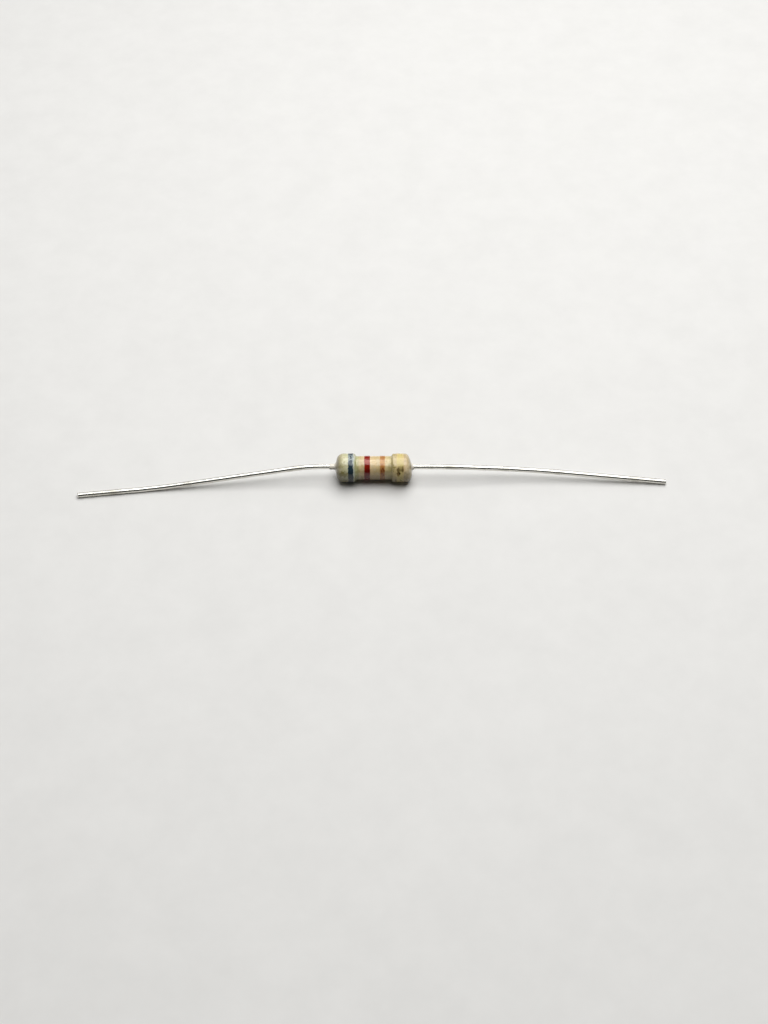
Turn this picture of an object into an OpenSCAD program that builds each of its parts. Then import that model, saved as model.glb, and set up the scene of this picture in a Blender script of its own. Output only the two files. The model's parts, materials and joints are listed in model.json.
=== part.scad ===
// Axial-lead film resistor: dog-bone lacquered body, four printed bands, two tinned wires.
// All sizes in millimetres. The body lies along X on the plane z = 0, with its leads bent
// down to the same plane, and the origin sits under the middle of the whole part.

/* [Body] */
// Length of the ceramic rod
core_length = 5.72; // [5.2:0.04:8]
// Diameter over the lacquer on the slim barrel between the caps
barrel_diameter = 2.04; // [1.8:0.02:2.6]
// Thickness of the lacquer on the barrel and on the caps
coat_thickness = 0.17; // [0.12:0.01:0.24]
// Thickness of the lacquer over each cap's end face
end_coat = 0.2; // [0.14:0.01:0.3]
// Length over which the lacquer steps down from a cap to the barrel
shoulder_length = 0.27; // [0.24:0.01:0.5]
// Radius of the lacquer where the left crown rolls over into its domed end
left_corner = 0.58; // [0.35:0.01:0.6]
// Radius of the lacquer where the right crown rolls over into its domed end
right_corner = 0.38; // [0.35:0.01:0.6]
// Radius of the shallow dome on each end
dome_radius = 2.5; // [2:0.1:5]

/* [End caps] */
// Length of each pressed cap
cap_length = 1.5; // [1.2:0.05:1.8]
// Wall of each pressed cap
cap_wall = 0.19; // [0.14:0.01:0.22]
// Outer corner radius of the pressing
cap_corner = 0.32; // [0.25:0.01:0.38]
// Rounding of the cap's open rim
rim_round = 0.06; // [0.02:0.01:0.08]

/* [Film] */
// Thickness of the carbon film
film_thickness = 0.04; // [0.04:0.01:0.08]
// Bare stretch of rod at each end of the film
film_margin = 0.12; // [0.06:0.01:0.3]
// Chamfer on the rod's ends
core_chamfer = 0.06; // [0.02:0.01:0.12]
// Turns of the spiral trimming cut
cut_turns = 4; // [2:1:5]
// Pitch of the spiral trimming cut
cut_pitch = 0.56; // [0.4:0.02:0.56]
// Width of the spiral trimming cut
cut_width = 0.12; // [0.08:0.01:0.2]

/* [Bands] */
// Depth to which the bands are sunk into the lacquer
band_depth = 0.04; // [0.03:0.01:0.06]
// Centre of the blue band, from the body's middle
blue_at = -1.94; // [-2.1:0.02:-1.94]
// Width of the blue band
blue_width = 0.43; // [0.3:0.01:0.5]
// Centre of the red band, from the body's middle
red_at = -0.55; // [-0.8:0.01:-0.4]
// Width of the red band
red_width = 0.48; // [0.3:0.01:0.6]
// Centre of the orange band, from the body's middle
orange_at = 0.74; // [0.4:0.01:0.9]
// Width of the orange band
orange_width = 0.41; // [0.3:0.01:0.6]
// Centre of the gold band, from the body's middle
gold_at = 2.24; // [2.1:0.02:2.26]
// Width of the gold band
gold_width = 0.6; // [0.4:0.01:0.7]

/* [Leads] */
// Diameter of the tinned wire
wire_diameter = 0.42; // [0.36:0.02:0.6]
// How far the wires are welded above the body's axis
weld_offset = 0.15; // [0:0.01:0.15]
// Radius of the collar of metal pressed out around each weld
weld_collar = 0.34; // [0.32:0.01:0.4]
// Height of the weld collar on the cap
weld_height = 0.1; // [0.06:0.01:0.12]
// How far the lacquer has crept along the left wire
left_creep = 0.5; // [0.16:0.01:0.54]
// How far the lacquer has crept along the right wire
right_creep = 0.16; // [0.16:0.01:0.3]
// Thickness of the lacquer crept along the wires
creep_edge = 0.04; // [0.03:0.01:0.06]
// Radius of the fillet at the foot of each creep
creep_radius = 0.2; // [0.14:0.01:0.22]

/* [Left lead] */
// From the body's middle to the left tip
left_reach = 25.05; // [22:0.05:30]
// From the body's middle to the first bend
left_near_bend = 5.6; // [5.4:0.1:7]
// From the body's middle to the second bend
left_far_bend = 18.4; // [15:0.1:19]
// How far forward the second bend lies
left_far_forward = 1.43; // [0.9:0.01:1.6]
// How far forward the tip lies
left_tip_forward = 2.2; // [1.8:0.02:3]
// Radius of the first bend, on the wire's axis
left_near_radius = 20; // [10:1:22]
// Radius of the second bend, on the wire's axis
left_far_radius = 40; // [20:1:60]

/* [Right lead] */
// From the body's middle to the right tip
right_reach = 24.95; // [22:0.05:30]
// From the body's middle to the first bend
right_near_bend = 6; // [5:0.1:6]
// From the body's middle to the second bend
right_far_bend = 13; // [12:0.1:15]
// How far forward the second bend lies, less than zero for backward
right_far_forward = -0.07; // [-0.15:0.01:0.3]
// How far forward the tip lies
right_tip_forward = 0.72; // [0.3:0.01:0.9]
// Radius of the first bend, on the wire's axis
right_near_radius = 50; // [10:1:55]
// Radius of the second bend, on the wire's axis
right_far_radius = 100; // [40:1:100]

/* [Hidden] */
$fn = 96;
// The barrel's lacquer wraps the film, the film wraps the rod, the caps grip the film.
barrel_radius = barrel_diameter / 2;
film_radius = barrel_radius - coat_thickness;
core_radius = film_radius - film_thickness;
cap_radius = film_radius + cap_wall;
crown_radius = cap_radius + coat_thickness;
core_end = core_length / 2;
film_end = core_end - film_margin;
cap_face = core_end + cap_wall;
cap_rim = cap_face - cap_length;
coat_end = cap_face + end_coat;

// The shoulder is two equal arcs, one under the crown and one over the barrel.
shoulder_start = cap_rim - shoulder_length / 2;
shoulder_end = cap_rim + shoulder_length / 2;
shoulder_step = crown_radius - barrel_radius;
shoulder_radius = (pow(shoulder_length, 2) + pow(shoulder_step, 2)) / (4 * shoulder_step);
shoulder_middle = (crown_radius + barrel_radius) / 2;

dome_centre = coat_end - dome_radius;

// The fillets stand in the dome, so that their feet leave no step on it.
creep_sink = 0.06;

wire_radius = wire_diameter / 2;
wire_height = crown_radius + weld_offset;
weld_round = weld_height / 2;
// A bend draws the wire a hair thinner, and reaches this far into the straight wire.
bend_thinning = 0.001;
bend_lap = 0.05;

// Corner points of each wire's run, from its weld to its tip, before the bends round them.
left_run = [
    [-cap_face, 0, wire_height],
    [-left_near_bend, 0, wire_height],
    [-left_far_bend, -left_far_forward, wire_radius],
    [-left_reach, -left_tip_forward, wire_radius]
];
right_fall = (right_far_bend - right_near_bend) / (right_reach - right_near_bend);
right_run = [
    [cap_face, 0, wire_height],
    [right_near_bend, 0, wire_height],
    [right_far_bend, -right_far_forward, wire_height - right_fall * (wire_height - wire_radius)],
    [right_reach, -right_tip_forward, wire_radius]
];

// The origin lies under the middle of the part's outline.
front_reach = left_tip_forward + wire_radius;
middle_shift = [(left_reach - right_reach) / 2, (front_reach - crown_radius) / 2, 0];

cut_steps = 24;
cut_start = -cut_turns * cut_pitch / 2;
cut_inner = core_radius - 0.1;
cut_outer = film_radius + 0.1;

ceramic_white = "#e9e4da";
carbon_grey = "#2b2a2c";
steel_grey = "#a9abac";
tin_grey = "#c9cacb";
lacquer_beige = "#e0cfb0";
band_blue = "#24404f";
band_red = "#9a1c12";
band_orange = "#d77a3a";
band_gold = "#b79a5b";

function unit(v) = v / norm(v);
function crossways(u) = unit(cross([0, 0, 1], u));

// Turns about X, Y and Z that carry the X and Y axes onto the directions u and v.
function turns_onto(u, v) = [atan2(v[2], cross(u, v)[2]), -asin(u[2]), atan2(u[1], u[0])];

// Puts its children at p, with their X and Y along u and v.
module placed(p, u, v) {
    translate(p)
        rotate(turns_onto(u, v))
            children();
}

// Lays the body's parts along X at their height, above the plane they rest on.
module on_body_axis() {
    translate(middle_shift + [0, 0, crown_radius])
        children();
}

// Turns a shape made around Z so that it lies along X.
module along_x() {
    rotate([0, 90, 0])
        children();
}

// Shows its children at the right end, and mirrored at the left end.
module at_end(side) {
    mirror([side < 0 ? 1 : 0, 0, 0])
        children();
}

module ring(start, width, inner, outer) {
    translate([start, 0, 0])
        along_x()
            difference() {
                cylinder(h = width, r = outer);
                translate([0, 0, -width])
                    cylinder(h = 3 * width, r = inner);
            }
}

module rod(start, length, radius) {
    translate([start, 0, 0])
        along_x()
            cylinder(h = length, r = radius);
}

// Outline of half the cap from its open rim to its face, radius across and length up.
module cap_outline() {
    translate([0, cap_rim])
        square([cap_radius - cap_corner, cap_length]);
    translate([0, cap_rim])
        square([cap_radius - rim_round, rim_round]);
    translate([0, cap_rim + rim_round])
        square([cap_radius, cap_length - rim_round - cap_corner]);
    translate([cap_radius - rim_round, cap_rim + rim_round])
        circle(r = rim_round);
    translate([cap_radius - cap_corner, cap_face - cap_corner])
        circle(r = cap_corner);
}

module cap_envelope() {
    along_x()
        rotate_extrude()
            cap_outline();
}

module end_cap(side) {
    on_body_axis()
        at_end(side)
            difference() {
                cap_envelope();
                rod(0, core_end, film_radius);
            }
}

// Outline of half the lacquered body, radius across and length up. The crown's corner arc
// runs into the dome's arc without a step.
module coat_outline(corner_radius) {
    corner_at = crown_radius - corner_radius;
    corner_end = dome_centre + sqrt(pow(dome_radius - corner_radius, 2) - pow(corner_at, 2));
    square([barrel_radius, shoulder_end]);
    difference() {
        translate([0, shoulder_start])
            square([shoulder_middle, cap_rim - shoulder_start]);
        translate([barrel_radius + shoulder_radius, shoulder_start])
            circle(r = shoulder_radius);
    }
    translate([0, cap_rim])
        square([shoulder_middle, shoulder_end - cap_rim]);
    translate([crown_radius - shoulder_radius, shoulder_end])
        circle(r = shoulder_radius);
    translate([0, shoulder_end])
        square([crown_radius, corner_end - shoulder_end]);
    translate([corner_at, corner_end])
        circle(r = corner_radius);
    intersection() {
        translate([0, dome_centre])
            circle(r = dome_radius);
        polygon([
            [0, dome_centre],
            [2 * corner_at, 2 * corner_end - dome_centre],
            [0, dome_centre + 2 * dome_radius]
        ]);
    }
}

// One half of the coat, with the lacquer crept along its wire over a small fillet.
module coat_half(corner_radius, creep) {
    along_x()
        rotate_extrude()
            coat_outline(corner_radius);
    translate([coat_end - creep_sink, 0, weld_offset])
        along_x()
            rotate_extrude() {
                square([wire_radius + creep_edge, creep_sink + creep]);
                difference() {
                    square([wire_radius + creep_edge + creep_radius, creep_radius]);
                    translate([wire_radius + creep_edge + creep_radius, creep_radius])
                        circle(r = creep_radius);
                }
            }
}

// Collar pressed out around the weld, on the cap's face.
module weld_bead() {
    translate([cap_face, 0, weld_offset])
        along_x()
            rotate_extrude() {
                square([weld_collar - weld_round, weld_height]);
                square([weld_collar, weld_height - weld_round]);
                translate([weld_collar - weld_round, weld_height - weld_round])
                    circle(r = weld_round);
            }
}

module straight_wire(p, q) {
    u = unit(q - p);
    placed(p, u, crossways(u))
        along_x()
            cylinder(h = norm(q - p), r = wire_radius);
}

// Arc of wire that leaves p along u and turns into the direction w.
module bent_wire(p, u, w, radius) {
    inward = unit(w - (w * u) * u);
    lap = bend_lap / radius * 180 / PI;
    placed(p, -inward, u)
        translate([-radius, 0, 0])
            rotate([0, 0, -lap])
                rotate_extrude(angle = acos(u * w) + 2 * lap)
                    translate([radius, 0])
                        circle(r = wire_radius - bend_thinning);
}

// Wire through the four points of a run, rounded at its two inner corners.
module wire(run, near_radius, far_radius) {
    u = unit(run[1] - run[0]);
    v = unit(run[2] - run[1]);
    w = unit(run[3] - run[2]);
    near_length = near_radius * tan(acos(u * v) / 2);
    far_length = far_radius * tan(acos(v * w) / 2);
    straight_wire(run[0], run[1] - near_length * u);
    bent_wire(run[1] - near_length * u, u, v, near_radius);
    straight_wire(run[1] + near_length * v, run[2] - far_length * v);
    bent_wire(run[2] - far_length * v, v, w, far_radius);
    straight_wire(run[2] + far_length * w, run[3]);
}

// Spiral bar that the trimming laser takes out of the film.
module trimming_cut() {
    sections = cut_turns * cut_steps;
    corners = [
        for (i = [0 : sections])
            for (c = [[cut_inner, 0], [cut_outer, 0], [cut_outer, 1], [cut_inner, 1]])
                let (turn = 360 * i / cut_steps)
                    [
                        cut_start + cut_pitch * i / cut_steps + (c[1] - 0.5) * cut_width,
                        c[0] * cos(turn),
                        c[0] * sin(turn)
                    ]
    ];
    sides = [
        for (i = [0 : sections - 1])
            for (k = [0 : 3])
                let (a = 4 * i + k, b = 4 * i + (k + 1) % 4)
                    for (face = [[a, b, b + 4], [a, b + 4, a + 4]])
                        face
    ];
    last = 4 * sections;
    ends = [[3, 2, 1], [3, 1, 0], [last, last + 1, last + 2], [last, last + 2, last + 3]];
    polyhedron(points = corners, faces = concat(sides, ends));
}

module ceramic_core() {
    color(ceramic_white)
        on_body_axis()
            along_x()
                rotate_extrude()
                    polygon([
                        [0, -core_end],
                        [core_radius - core_chamfer, -core_end],
                        [core_radius, -core_end + core_chamfer],
                        [core_radius, core_end - core_chamfer],
                        [core_radius - core_chamfer, core_end],
                        [0, core_end]
                    ]);
}

module carbon_film() {
    color(carbon_grey)
        on_body_axis()
            difference() {
                ring(-film_end, 2 * film_end, core_radius, film_radius);
                trimming_cut();
            }
}

module left_end_cap() {
    color(steel_grey)
        end_cap(-1);
}

module right_end_cap() {
    color(steel_grey)
        end_cap(1);
}

module left_lead() {
    color(tin_grey) {
        translate(middle_shift)
            wire(left_run, left_near_radius, left_far_radius);
        on_body_axis()
            at_end(-1)
                weld_bead();
    }
}

module right_lead() {
    color(tin_grey) {
        translate(middle_shift)
            wire(right_run, right_near_radius, right_far_radius);
        on_body_axis()
            at_end(1)
                weld_bead();
    }
}

// Seat sunk into the lacquer for a band, and the band that fills it.
module crown_band(at, width) {
    ring(at - width / 2, width, crown_radius - band_depth, crown_radius);
}

module barrel_band(at, width) {
    ring(at - width / 2, width, barrel_radius - band_depth, barrel_radius);
}

// Seats are cut wider outward than the bands, so that nothing is left over them.
module crown_seat(at, width) {
    ring(at - width / 2, width, crown_radius - band_depth, 2 * crown_radius);
}

module barrel_seat(at, width) {
    ring(at - width / 2, width, barrel_radius - band_depth, 2 * crown_radius);
}

module lacquer_coat() {
    color(lacquer_beige)
        on_body_axis()
            difference() {
                union() {
                    at_end(-1)
                        coat_half(left_corner, left_creep);
                    at_end(1)
                        coat_half(right_corner, right_creep);
                }
                rod(-core_end, core_length, film_radius);
                for (side = [-1, 1])
                    at_end(side) {
                        cap_envelope();
                        weld_bead();
                        translate([0, 0, weld_offset])
                            rod(cap_face, 2 * (end_coat + left_creep + right_creep), wire_radius);
                    }
                crown_seat(blue_at, blue_width);
                barrel_seat(red_at, red_width);
                barrel_seat(orange_at, orange_width);
                crown_seat(gold_at, gold_width);
            }
}

module blue_band() {
    color(band_blue)
        on_body_axis()
            crown_band(blue_at, blue_width);
}

module red_band() {
    color(band_red)
        on_body_axis()
            barrel_band(red_at, red_width);
}

module orange_band() {
    color(band_orange)
        on_body_axis()
            barrel_band(orange_at, orange_width);
}

module gold_band() {
    color(band_gold)
        on_body_axis()
            crown_band(gold_at, gold_width);
}

ceramic_core();
carbon_film();
left_end_cap();
right_end_cap();
left_lead();
right_lead();
lacquer_coat();
blue_band();
red_band();
orange_band();
gold_band();
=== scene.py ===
# %% [markdown]
# # A film resistor with axial leads
# The part is a ceramic rod with a carbon film, two pressed caps and two welded wires, all
# dipped in a beige lacquer and printed with four colour bands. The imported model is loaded
# first. It gives every place and size, and nothing below moves it.

# %% Load the frame
import json
import math

import bpy
import numpy as np
from mathutils import Matrix, Vector


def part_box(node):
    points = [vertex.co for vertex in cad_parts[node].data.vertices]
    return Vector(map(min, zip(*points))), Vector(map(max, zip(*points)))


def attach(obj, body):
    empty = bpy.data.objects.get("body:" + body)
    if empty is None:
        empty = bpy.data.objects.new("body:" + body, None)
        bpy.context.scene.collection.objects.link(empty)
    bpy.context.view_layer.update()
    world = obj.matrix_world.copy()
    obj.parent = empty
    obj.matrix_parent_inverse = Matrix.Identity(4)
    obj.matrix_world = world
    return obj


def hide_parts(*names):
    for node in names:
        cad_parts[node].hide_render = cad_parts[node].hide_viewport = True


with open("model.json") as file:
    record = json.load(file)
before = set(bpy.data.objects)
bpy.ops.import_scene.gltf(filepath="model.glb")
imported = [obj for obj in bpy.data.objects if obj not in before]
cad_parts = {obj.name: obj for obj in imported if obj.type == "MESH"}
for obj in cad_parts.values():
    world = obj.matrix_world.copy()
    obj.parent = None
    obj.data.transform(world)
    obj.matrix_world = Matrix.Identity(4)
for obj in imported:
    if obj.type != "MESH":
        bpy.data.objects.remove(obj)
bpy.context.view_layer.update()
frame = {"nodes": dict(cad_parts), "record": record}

nodes = frame["nodes"]
print("nodes:", sorted(nodes))

# %% [markdown]
# ## Working in millimetres
# The body is only a few millimetres long, and many of Blender's tools weld or skip anything
# under a tenth of a millimetre. So each piece is shaped a thousand times too large, where one
# unit stands for a millimetre, and is shrunk about the origin when it's done. Its place then
# comes right by itself.

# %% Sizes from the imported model
MM = 1000.0


def node_box(name):
    low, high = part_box(name)
    return low * MM, high * MM


def node_radius(name):
    low, high = node_box(name)
    return (high.z - low.z) / 2


blue_low, blue_high = node_box("blue_band")
coat_low, coat_high = node_box("lacquer_coat")
left_cap_low, left_cap_high = node_box("left_end_cap")
right_cap_low, right_cap_high = node_box("right_end_cap")
crown_radius = node_radius("blue_band")
barrel_radius = node_radius("red_band")
cap_radius = node_radius("left_end_cap")
film_radius = node_radius("carbon_film")
cap_face = (right_cap_high.x - left_cap_low.x) / 2
cap_rim = (right_cap_low.x - left_cap_high.x) / 2
body_middle = (left_cap_low.x + right_cap_high.x) / 2
axis = Vector((body_middle, (blue_low.y + blue_high.y) / 2, crown_radius))

# The collar round the weld is the highest and the rearmost part of the left lead
collar_high = node_box("left_lead")[1]
collar_radius = collar_high.y - axis.y
weld_lift = collar_high.z - axis.z - collar_radius
print("crown", round(crown_radius, 3), "barrel", round(barrel_radius, 3), "caps", round(cap_radius, 3))
print("weld collar", round(collar_radius, 3), "lifted", round(weld_lift, 3))

# %% [markdown]
# ## Helpers for the hand tools
# Everything is deselected before each primitive, because an operator acts on all that is
# selected. A finished piece is shrunk to its real size, shaded smooth and tied to the
# model's one rigid body.

# %% Helpers for pieces
crease_angle = math.radians(40)


def start_fresh():
    """Leaves edit mode and deselects everything."""
    if bpy.context.object and bpy.context.object.mode != "OBJECT":
        bpy.ops.object.mode_set(mode="OBJECT")
    bpy.ops.object.select_all(action="DESELECT")


def take(piece):
    """Makes a piece the only one that the operators act on."""
    start_fresh()
    piece.select_set(True)
    bpy.context.view_layer.objects.active = piece


def corners(piece):
    """The places of all the piece's corners, one in each row."""
    flat = np.empty(3 * len(piece.data.vertices))
    piece.data.vertices.foreach_get("co", flat)
    return flat.reshape(-1, 3)


def print_span(piece):
    places = corners(piece)
    print(piece.name, "spans", places.min(0).round(3).tolist(), "to", places.max(0).round(3).tolist())


def apply_all(piece):
    take(piece)
    for modifier in list(piece.modifiers):
        bpy.ops.object.modifier_apply(modifier=modifier.name)


def finish_piece(piece, node):
    take(piece)
    piece.scale = (1 / MM, 1 / MM, 1 / MM)
    bpy.ops.object.transform_apply(location=True, rotation=True, scale=True)
    bpy.ops.object.shade_smooth_by_angle(angle=crease_angle)
    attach(piece, "root")
    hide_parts(node)
    print(piece.name, len(piece.data.polygons), "faces")


# %% [markdown]
# ## The lacquer's outline
# The body is dipped, so its skin is one smooth outline. It starts as a thin film crept along
# the wire, swells through a small fillet into a shallow dome, rolls over a corner to the crown
# on the cap, and steps down a soft shoulder to the slim barrel. The wire is welded a little
# above the middle, so the rings near it are lifted and tilted on the dome. Each ring is kept
# as its distance out, its lift, its radius and its tilt.

# %% Sizes of the outline
wire_radius = 0.21
creep_thickness = 0.04
lip_thickness = 0.004
lip_length = 0.09
fillet_radius = 0.2
end_coat = 0.2
dome_radius = 2.5
left_corner = 0.58
right_corner = 0.38
shoulder_length = 0.27
shoulder_drop = crown_radius - barrel_radius
shoulder_bend = (shoulder_length**2 + shoulder_drop**2) / (4 * shoulder_drop)
shoulder_top = cap_rim + shoulder_length / 2
shoulder_foot = cap_rim - shoulder_length / 2

# How finely each part of the outline is drawn
creep_gap = 0.06
fillet_steps = 8
dome_steps = 11
corner_steps = 17
crown_steps = 25
shoulder_steps = 6
barrel_steps = 57
print("shoulders bend to", round(shoulder_bend, 3), "over a drop of", round(shoulder_drop, 3))

# %% Rings of one end


def arc(across, up, radius, first, last, steps):
    """Points along an arc about (across, up), between two angles in degrees."""
    angles = np.radians(np.linspace(first, last, steps + 1))
    return [(across + radius * math.cos(a), up + radius * math.sin(a)) for a in angles]


def film_on_wire(lip, fillet_out):
    """The crept film, from its thin lip to the foot of the fillet."""
    rings = [(lip - lip_length * (1 - math.cos(a)),
              wire_radius + lip_thickness + (creep_thickness - lip_thickness) * math.sin(a))
             for a in np.radians([0, 22, 45, 67, 90])]
    rings += [(out, wire_radius + creep_thickness)
              for out in np.arange(rings[-1][0] - creep_gap, fillet_out, -creep_gap)]
    return [(out, weld_lift, radius, 0) for out, radius in rings]


def outer_rings(lip, corner):
    """All rings from the lip to the barrel. The dome runs from the angle foot to the angle turn."""
    dome_middle = cap_face + end_coat - dome_radius
    fillet_up = wire_radius + creep_thickness + fillet_radius
    fillet_out = dome_middle + math.sqrt((dome_radius + fillet_radius) ** 2 - fillet_up**2)
    foot = math.degrees(math.asin(fillet_up / (dome_radius + fillet_radius)))
    corner_up = crown_radius - corner
    corner_out = dome_middle + math.sqrt((dome_radius - corner) ** 2 - corner_up**2)
    turn = math.degrees(math.atan2(corner_up, corner_out - dome_middle))
    tilt = math.degrees(math.asin(weld_lift / dome_radius))

    rings = film_on_wire(lip, fillet_out)
    fillet = arc(fillet_out, fillet_up, fillet_radius, 270, 180 + foot, fillet_steps)
    for step, (out, radius) in enumerate(fillet[:-1]):
        rings.append((out, weld_lift, radius, tilt * step / fillet_steps))
    for angle in np.linspace(foot, turn, dome_steps + 1)[:-1]:
        lean = math.radians(tilt * (turn - angle) / (turn - foot))
        middle = dome_radius * math.cos(math.radians(angle))
        rings.append((dome_middle + middle * math.cos(lean), middle * math.sin(lean),
                      dome_radius * math.sin(math.radians(angle)), math.degrees(lean)))

    outline = arc(corner_out, corner_up, corner, turn, 90, corner_steps)
    crown_outs = np.linspace(corner_out, shoulder_top, crown_steps + 1)[1:-1]
    outline += [(out, crown_radius) for out in crown_outs]
    sweep = math.degrees(math.asin(shoulder_length / 2 / shoulder_bend))
    outline += arc(shoulder_top, crown_radius - shoulder_bend, shoulder_bend, 90, 90 + sweep,
                   shoulder_steps)
    outline += arc(shoulder_foot, barrel_radius + shoulder_bend, shoulder_bend, 270 + sweep, 270,
                   shoulder_steps)[1:]
    return rings + [(out, 0, radius, 0) for out, radius in outline]


left_rings = outer_rings(axis.x - coat_low.x, left_corner)
right_rings = outer_rings(coat_high.x - axis.x, right_corner)
print("rings on the left end", len(left_rings), "and on the right", len(right_rings))

# %% [markdown]
# ## The lacquer's inner wall
# The lacquer has a real thickness. Its inner wall lies on the wire, round the collar of the
# weld, over the cap and along the film. Few rings are enough where nothing shows.

# %% Rings of the inner wall
cap_corner = 0.32
cap_corner_steps = 5
rim_edge = 0.06
weld_height = 0.1
collar_edge = 0.05


def inner_rings(lip):
    """All rings of the inner wall, from the lip in to the film."""
    rings = [(lip, weld_lift, wire_radius, 0), (cap_face + weld_height, weld_lift, wire_radius, 0)]
    rings += [(cap_face + weld_height, weld_lift, collar_radius - collar_edge, 0),
              (cap_face + collar_edge, weld_lift, collar_radius, 0),
              (cap_face, weld_lift, collar_radius, 0)]
    corner = arc(cap_face - cap_corner, cap_radius - cap_corner, cap_corner, 0, 90, cap_corner_steps)
    rings += [(out, 0, radius, 0) for out, radius in corner]
    rings += [(cap_rim + rim_edge, 0, cap_radius, 0), (cap_rim, 0, cap_radius - rim_edge, 0),
              (cap_rim, 0, film_radius, 0)]
    return rings


left_wall = inner_rings(axis.x - coat_low.x)
right_wall = inner_rings(coat_high.x - axis.x)
print("rings inside the left end", len(left_wall), "and inside the right", len(right_wall))

# %% [markdown]
# ## Drawing the skin ring by ring
# The rings aren't all about one line, so a spin can't make this shell. A circle is placed at
# the left lip instead, and is extruded, moved, widened and tilted once for every ring, out
# along the skin to the right lip and back along the inner wall. The last ring falls on the
# first and is merged with it, so the shell is closed.

# %% The lacquer coat
points_round = 192
merge_distance = 1e-5


def placed_rings(rings, side):
    """Puts the rings of an end in place. The side is -1 on the left and 1 on the right."""
    return [(axis + Vector((side * out, 0, lift)), radius, -side * math.radians(tilt))
            for out, lift, radius, tilt in rings]


def ring_by_ring(name, rings):
    start_fresh()
    middle, radius, tilt = rings[0]
    bpy.ops.mesh.primitive_circle_add(vertices=points_round, radius=radius, fill_type="NOTHING",
                                      location=middle, rotation=(0, math.pi / 2, 0))
    piece = bpy.context.object
    piece.name = name
    bpy.ops.object.transform_apply(location=True, rotation=True, scale=True)
    bpy.ops.object.mode_set(mode="EDIT")
    bpy.ops.mesh.select_all(action="SELECT")
    for new_middle, new_radius, new_tilt in rings[1:]:
        bpy.ops.mesh.extrude_region_move(TRANSFORM_OT_translate={"value": new_middle - middle})
        grow = new_radius / radius
        bpy.ops.transform.resize(value=(grow, grow, grow), center_override=new_middle)
        if new_tilt != tilt:
            bpy.ops.transform.rotate(value=tilt - new_tilt, orient_axis="Y", center_override=new_middle)
        middle, radius, tilt = new_middle, new_radius, new_tilt
    bpy.ops.object.mode_set(mode="OBJECT")
    return piece


barrel_outs = np.linspace(-shoulder_foot, shoulder_foot, barrel_steps + 1)[1:-1]
barrel_rings = [(axis + Vector((out, 0, 0)), barrel_radius, 0) for out in barrel_outs]
skin_rings = placed_rings(left_rings, -1) + barrel_rings + placed_rings(right_rings[::-1], 1)
wall_rings = placed_rings(right_wall, 1) + placed_rings(left_wall[::-1], -1)
coat = ring_by_ring("dipped_lacquer_coat", skin_rings + wall_rings + skin_rings[:1])
skin = coat.vertex_groups.new(name="skin")
skin.add(list(range(len(skin_rings) * points_round)), 1.0, "REPLACE")
take(coat)
bpy.ops.object.mode_set(mode="EDIT")
bpy.ops.mesh.select_all(action="SELECT")
bpy.ops.mesh.remove_doubles(threshold=merge_distance)
bpy.ops.mesh.normals_make_consistent(inside=False)
bpy.ops.object.mode_set(mode="OBJECT")
print_span(coat)

# %% [markdown]
# ## The sag on the right end
# Each body hangs slightly askew while its lacquer sets, so the lacquer gathers on one side. On
# this one it has run to the lower front of the right end and is thin at the upper back.
# Proportional editing does the same: a few points are moved, and their neighbours follow less
# and less. The inner wall is hidden first, so that it stays on the cap.

# %% Pull the skin
grip = 0.15
lower_front = axis + Vector((3.05, -0.75, -0.6))
upper_back = axis + Vector((2.98, 0.62, 0.85))


def pull_skin(place, move, reach):
    bpy.ops.mesh.select_all(action="DESELECT")
    bpy.ops.object.mode_set(mode="OBJECT")
    for vertex in coat.data.vertices:
        vertex.select = not vertex.hide and (vertex.co - place).length < grip
    bpy.ops.object.mode_set(mode="EDIT")
    bpy.ops.transform.translate(value=move, use_proportional_edit=True,
                                proportional_edit_falloff="SMOOTH", proportional_size=reach)


take(coat)
bpy.ops.object.mode_set(mode="EDIT")
bpy.context.tool_settings.mesh_select_mode = (True, False, False)
bpy.ops.mesh.select_all(action="DESELECT")
coat.vertex_groups.active_index = skin.index
bpy.ops.object.vertex_group_select()
bpy.ops.mesh.hide(unselected=True)
pull_skin(lower_front, move=(0.1, 0, 0), reach=1.15)
pull_skin(upper_back, move=(-0.08, 0, 0), reach=0.9)
bpy.ops.mesh.reveal(select=False)
bpy.ops.object.mode_set(mode="OBJECT")
print_span(coat)

# %% [markdown]
# ## Lumps left by the dip
# Lacquer that drips off and bakes is never quite even. Two Displace modifiers push the skin
# along its normals: broad soft lumps, and finer ones that break up the shine. The middle level
# of the broad ones lies high, so that they mostly sink in and the crowns keep their size. The
# vertex group keeps the inner wall still.

# %% Lumps on the skin


def clouds(name, size, depth=1):
    texture = bpy.data.textures.new(name, "CLOUDS")
    texture.noise_scale = size
    texture.noise_depth = depth
    return texture


def displace(piece, texture, strength, group, direction="NORMAL", middle=0.5):
    modifier = piece.modifiers.new(texture.name, "DISPLACE")
    modifier.texture = texture
    modifier.texture_coords = "LOCAL"
    modifier.direction = direction
    modifier.strength = strength
    modifier.mid_level = middle
    modifier.vertex_group = group


displace(coat, clouds("broad_lumps", size=0.95), strength=0.055, group="skin", middle=0.62)
displace(coat, clouds("fine_lumps", size=0.3), strength=0.016, group="skin")
apply_all(coat)
print_span(coat)

# %% [markdown]
# ## Printed bands
# The bands are paint rolled onto the lacquer, so they follow its every lump. Each one is
# modelled from the skin itself: the faces under the band are duplicated and split off, both
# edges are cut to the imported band's width with a bisect, the edges are made a little ragged
# with a Displace along the length, and a Solidify gives the paint its thickness.

# %% Bands lifted from the skin
paint_thickness = 0.03
paint_proud = 0.018
ragged_width = 0.12
spare_skin = 0.12
lump_depth = 0.08


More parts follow.
